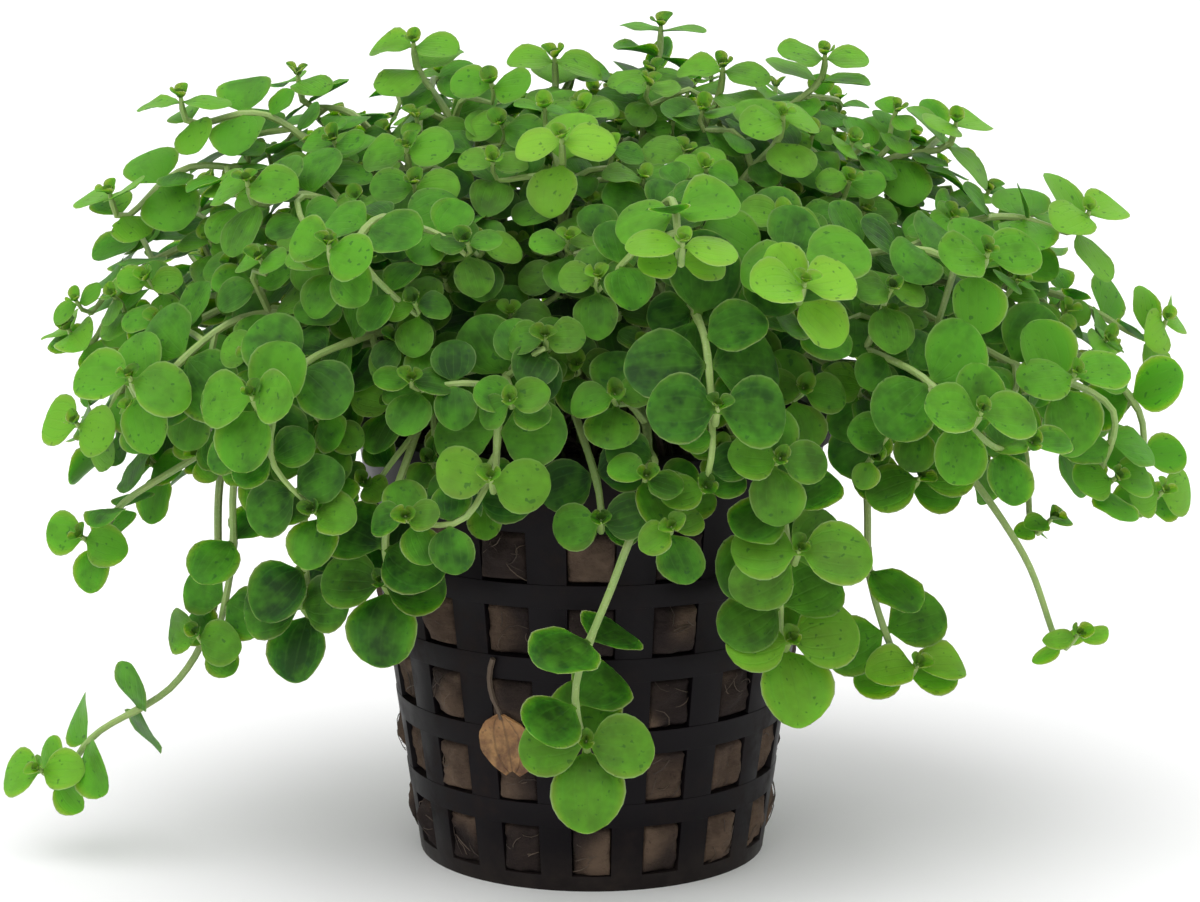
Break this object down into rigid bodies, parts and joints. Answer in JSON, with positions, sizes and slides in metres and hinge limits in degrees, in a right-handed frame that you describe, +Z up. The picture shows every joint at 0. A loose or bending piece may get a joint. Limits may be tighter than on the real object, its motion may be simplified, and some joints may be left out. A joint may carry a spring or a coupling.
{
  "type": "potted shade mudflower",
  "caption": "Aquarium plant with a cushion of thin stems and round opposite leaves, growing from brown rock wool in a slotted black plastic net pot.",
  "frame": {"origin": "middle of the pot's base, on the surface that the pot stands on", "axes": "+Z up, +X to the viewer's right, +Y away from the viewer in the usual front view"},
  "size_m": [0.1313, 0.0957, 0.0897],
  "materials": {
    "net_pot": "satin",
    "rock_wool": "matte",
    "withered_leaf": "matte",
    "shoots": "satin"
  },
  "bodies": {
    "root": {"crown_far_right": "shoots", "crown_front": "shoots", "crown_left": "shoots", "crown_left_back": "shoots", "crown_left_peak": "shoots", "crown_middle": "shoots", "crown_right": "shoots", "crown_right_front": "shoots", "crown_right_peak": "shoots", "cushion_shoot_01": "shoots", "cushion_shoot_02": "shoots", "cushion_shoot_03": "shoots", "cushion_shoot_04": "shoots", "cushion_shoot_05": "shoots", "cushion_shoot_06": "shoots", "cushion_shoot_07": "shoots", "cushion_shoot_08": "shoots", "cushion_shoot_09": "shoots", "cushion_shoot_10": "shoots", "cushion_shoot_11": "shoots", "cushion_shoot_12": "shoots", "cushion_shoot_13": "shoots", "cushion_shoot_14": "shoots", "cushion_shoot_15": "shoots", "cushion_shoot_16": "shoots", "cushion_shoot_17": "shoots", "cushion_shoot_18": "shoots", "cushion_shoot_19": "shoots", "cushion_shoot_20": "shoots", "cushion_shoot_21": "shoots", "front_big": "shoots", "front_bright": "shoots", "front_bright_right": "shoots", "front_hanging": "shoots", "front_left": "shoots", "front_middle": "shoots", "front_right": "shoots", "front_right_low": "shoots", "left_front_hanging": "shoots", "left_front_high": "shoots", "left_front_inner": "shoots", "left_hanging": "shoots", "left_high": "shoots", "left_low": "shoots", "left_middle": "shoots", "left_runner": "shoots", "left_sprig": "shoots", "net_pot": "net_pot", "right_clover": "shoots", "right_hanging": "shoots", "right_hanging_inner": "shoots", "right_high": "shoots", "right_low_front": "shoots", "right_needle": "shoots", "right_shoulder": "shoots", "right_thin": "shoots", "right_tip": "shoots", "rock_wool": "rock_wool", "withered_leaf": "withered_leaf"}
  },
  "joints": []
}
